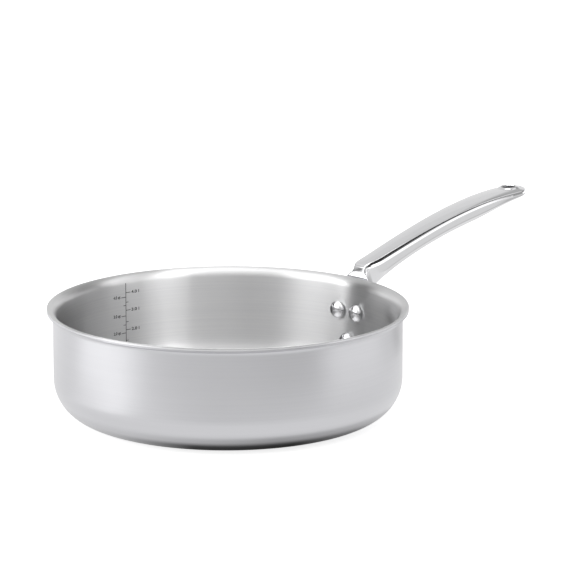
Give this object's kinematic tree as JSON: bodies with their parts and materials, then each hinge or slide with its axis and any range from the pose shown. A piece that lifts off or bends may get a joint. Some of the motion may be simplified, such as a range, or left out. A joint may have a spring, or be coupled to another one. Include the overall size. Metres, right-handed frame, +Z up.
{
  "type": "saute pan",
  "caption": "Wide straight-sided saute pan with a flared pouring lip and a long cast handle riveted to its wall.",
  "frame": {"origin": "centre of the pan's flat base, on the surface that it stands on", "axes": "+Z up along the pan's axis, +X from the axis along the handle, +Y to the left of someone looking along +X"},
  "size_m": [0.5049, 0.2954, 0.1417],
  "materials": {
    "cooking_surface": "stainless steel, brushed in rings",
    "core": "bare cut edge",
    "outside": "stainless steel, satin",
    "handle": "cast stainless steel, mirror polished",
    "rivets": "stainless steel, polished heads"
  },
  "bodies": {
    "root": {"inner_ply": "cooking_surface", "core_ply": "core", "outer_ply": "outside", "handle": "handle", "rivet_upper_left": "rivets", "rivet_upper_right": "rivets", "rivet_lower": "rivets"}
  },
  "joints": []
}
